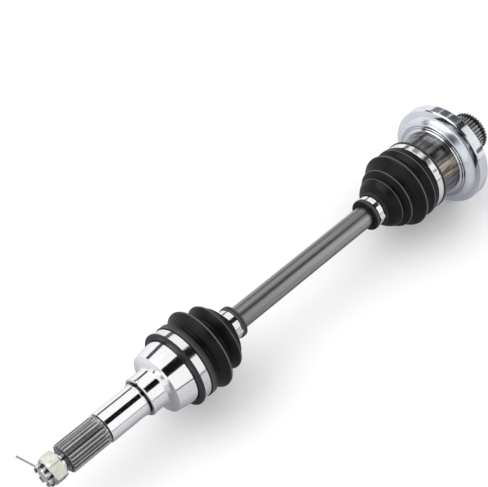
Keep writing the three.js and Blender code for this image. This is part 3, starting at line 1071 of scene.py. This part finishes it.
def build_flange():
    front, back, radius = INNER + 14.95, INNER + 36.95, 52.0
    bore, hub = 33.1, 36.0
    lip, throat = front + 2.4, hub + 4.8
    land = radius - 5.4
    flare_length, flare_rise = front + 9.9 - lip, land - throat
    steps = filleted([
        (front, bore, 0),
        (front, hub - 0.5, 0.3),
        (front + 0.9, hub + 0.1, 0.3),
        (front + 1.0, hub + 2.0, 0.2),
        (front + 1.7, hub + 2.3, 0.2),
        (front + 1.8, hub + 4.0, 0.3),
        (lip, throat, 0),
    ], steps=4)
    trumpet = [
        (lip + flare_length * math.sin(angle), land - flare_rise * math.cos(angle))
        for angle in stretches(0, TURN / 4, 20)[1:]
    ]
    face, rear_hub = front + 10.6, back - 6.0
    rear = filleted([
        (lip + flare_length, land, 0),
        (face, radius - 0.8, 0.1),
        (face + 0.6, radius - 0.15, 0.3),
        (face + 1.4, radius, 0.3),
        (back - 0.8, radius, 0.4),
        (back, radius - 0.9, 0.3),
        (back, radius - 5.0, 0.5),
        (back - 5.0, radius - 7.5, 2.0),
        (rear_hub, hub + 4.0, 3.0),
        (rear_hub, bore, 0.4),
        (front, bore, 0),
    ], steps=8)[1:-1]
    disc = revolved("dust_flange_disc", steps + trumpet + rear, sides=192, closed=True)
    smooth(disc, 24)
    # Painted shade in the two small steps at the hub's front.
    mark(disc, "painted_shade", peaks([(front + 1.05, 0.25, 0.5), (front + 1.8, 0.2, 0.5)]))
    mark(disc, "polish", lambda x, r: 1.0 if r > land - 0.5 or x < lip else 0.0)
    finished(disc, "gearbox_joint", "flange_zinc", "dust_flange")


# ---------------------------------------------------------------- build

build_shaft()
build_wheel_stub()
build_nut_hexagon()
build_nut_crown()
build_pin()
build_outer_boot()
build_inner_boot()
for clamp, body, ear in (
    ("outer_boot_large_clamp", "wheel_joint", 250),
    ("outer_boot_small_clamp", "shaft", 168),
    ("inner_boot_large_clamp", "gearbox_joint", 250),
    ("inner_boot_small_clamp", "shaft", 168),
):
    build_clamp(clamp, body, ear)
build_gearbox_cup()
build_flange()

# The solids that no piece replaces keep their CAD shape and get the material of their slot.
slot_of_node = {part["node"]: part["material_slot"] for part in frame["record"]["subparts"]}
for node_name, node_object in frame["nodes"].items():
    if node_object.hide_render:
        continue
    node_object.data.materials.clear()
    node_object.data.materials.append(MATERIALS[slot_of_node[node_name]])


# ---------------------------------------------------------------- stage

def plain_material(name, colour, glow=False):
    """A plain stage material. One that glows gives out its own colour and reflects nothing."""
    material = bpy.data.materials.new(name)
    material.use_nodes = True
    surface = material.node_tree.nodes["Principled BSDF"]
    surface.inputs["Base Color"].default_value = (0, 0, 0, 1) if glow else (*colour, 1)
    surface.inputs["Roughness"].default_value = 0.9
    surface.inputs["Specular IOR Level"].default_value = 0.0
    surface.inputs["Emission Color"].default_value = (*colour, 1)
    surface.inputs["Emission Strength"].default_value = 1.0 if glow else 0.0
    return material


def sheet_mesh(name, low, high, half_width, height):
    """A rectangle that runs along the axle at a height above or below it."""
    mesh = bpy.data.meshes.new(name)
    corners = [(low, -half_width), (high, -half_width), (high, half_width), (low, half_width)]
    mesh.from_pydata([(x, y, height) for x, y in corners], [], [(0, 1, 2, 3)])
    return new_object(name, mesh)


def reflected_only(obj):
    """Shows a stage piece in reflections alone."""
    obj.visible_camera = False
    obj.visible_diffuse = False
    obj.visible_shadow = False


def build_floor():
    """A pale floor. In polished metal it shows as the darker, cooler sheet just below it."""
    reach = 6  # metres
    floor = sheet_mesh("floor", -reach, reach, reach, FLOOR)
    floor.data.materials.append(plain_material("floor", (0.97, 0.97, 0.975)))
    floor.visible_glossy = False
    cool = sheet_mesh("floor_reflection", -reach, reach, reach, FLOOR - MM)
    cool.data.materials.append(shaded_ground())
    reflected_only(cool)


def shaded_ground():
    """Glows pale grey, and darker in the axle's own shade beside and under it."""
    shader = Shader("floor_reflection")
    apart = shader.node("ShaderNodeSeparateXYZ")
    shader.link(shader.coords, apart.inputs["Vector"])
    aside = shader.node("ShaderNodeMapRange")
    near_side, far_side = -0.26, 0.40
    aside.inputs["From Min"].default_value = near_side
    aside.inputs["From Max"].default_value = far_side
    shader.link(apart.outputs["Y"], aside.inputs["Value"])
    glow = shader.ramp(aside.outputs["Result"], [
        (0.0, (0.70, 0.70, 0.725)),
        (0.255, (0.62, 0.62, 0.645)),
        (0.376, (0.27, 0.27, 0.29)),
        (0.47, (0.43, 0.43, 0.45)),
        (0.545, (0.76, 0.76, 0.79)),
        (0.73, (0.93, 0.93, 0.95)),
    ])
    shader.set(
        Base_Color=(0, 0, 0, 1),
        Specular_IOR_Level=0.0,
        Emission_Color=glow,
        Emission_Strength=1.0,
    )
    return shader.material


def build_card(name, degrees, width, shade, span):
    """A long card beside the axle, seen only in its reflections.

    degrees is its direction round the axle, from +Y towards +Z, and width is in degrees too.
    span is where it starts and ends along the axle, in metres.
    """
    distance = 1.6
    blue = 1.04
    card = sheet_mesh(name, *span, distance * math.tan(math.radians(width / 2)), distance)
    about_axle(card, degrees - 90)
    card.data.materials.append(plain_material(name, (shade, shade, shade * blue), glow=True))
    reflected_only(card)


def build_cards():
    """Cards that give the polished steel its dark stripes from the camera's side.

    Seen from there, the wheel end and the bar reflect what lies before the station cup, the
    gearbox cup what lies before rim, and the flange's rim what lies past it. So each has its
    own stripes.
    """
    start, cup, rim, end = -3.0, 1.27, 1.434, 3.0
    for name, degrees, width, shade, span in (
        ("card_top", 107, 32, 0.006, (start, rim)),
        ("card_low", 176, 5, 0.08, (start, rim)),
        ("card_high", 25, 15, 0.08, (start, rim)),
        ("card_inner_high", 60, 22, 0.2, (cup, rim)),
        ("card_inner_low", 146, 9, 0.03, (cup, rim)),
        ("card_rim_side", 30, 20, 0.22, (rim, end)),
        ("card_rim_high", 52, 20, 0.12, (rim, end)),
        ("card_rim_upper", 76, 22, 0.07, (rim, end)),
        ("card_rim_top", 96, 16, 0.03, (rim, end)),
        ("card_rim_low", 164, 9, 0.05, (rim, end)),
    ):
        build_card(name, degrees, width, shade, span)


def build_key_light():
    """One broad light, high past the wheel end on the side away from the camera."""
    light = bpy.data.lights.new("key", "AREA")
    light.shape = "RECTANGLE"
    light.size = light.size_y = 2.2
    light.energy = 24
    obj = bpy.data.objects.new("key", light)
    obj.location = (-1.2, 1.2, 1.8)
    obj.rotation_euler = (-obj.location).to_track_quat("-Z", "Y").to_euler()
    bpy.context.scene.collection.objects.link(obj)


def build_world():
    """An evenly white surround, which is what most of the metal reflects."""
    world = bpy.data.worlds.new("studio")
    world.use_nodes = True
    background = world.node_tree.nodes["Background"]
    background.inputs["Color"].default_value = (1, 1, 1, 1)
    background.inputs["Strength"].default_value = 1.0
    bpy.context.scene.world = world


def build_camera():
    """The camera stands past the wheel end, above the axle, and looks along it."""
    azimuth, elevation = math.radians(-45.7), math.radians(48.6)
    target = Vector((0.0060, 0.0524, 0.0083))
    distance = 1.1
    back = Vector((
        math.sin(azimuth) * math.cos(elevation),
        -math.cos(azimuth) * math.cos(elevation),
        math.sin(elevation),
    ))
    camera = bpy.data.cameras.new("camera")
    camera.lens = 88.5
    camera.sensor_width = 36
    obj = bpy.data.objects.new("camera", camera)
    obj.location = target + back * distance
    obj.rotation_euler = (-back).to_track_quat("-Z", "Y").to_euler()
    bpy.context.scene.collection.objects.link(obj)
    bpy.context.scene.camera = obj


build_floor()
build_world()
build_cards()
build_key_light()
build_camera()
bpy.context.scene.view_settings.view_transform = "Standard"
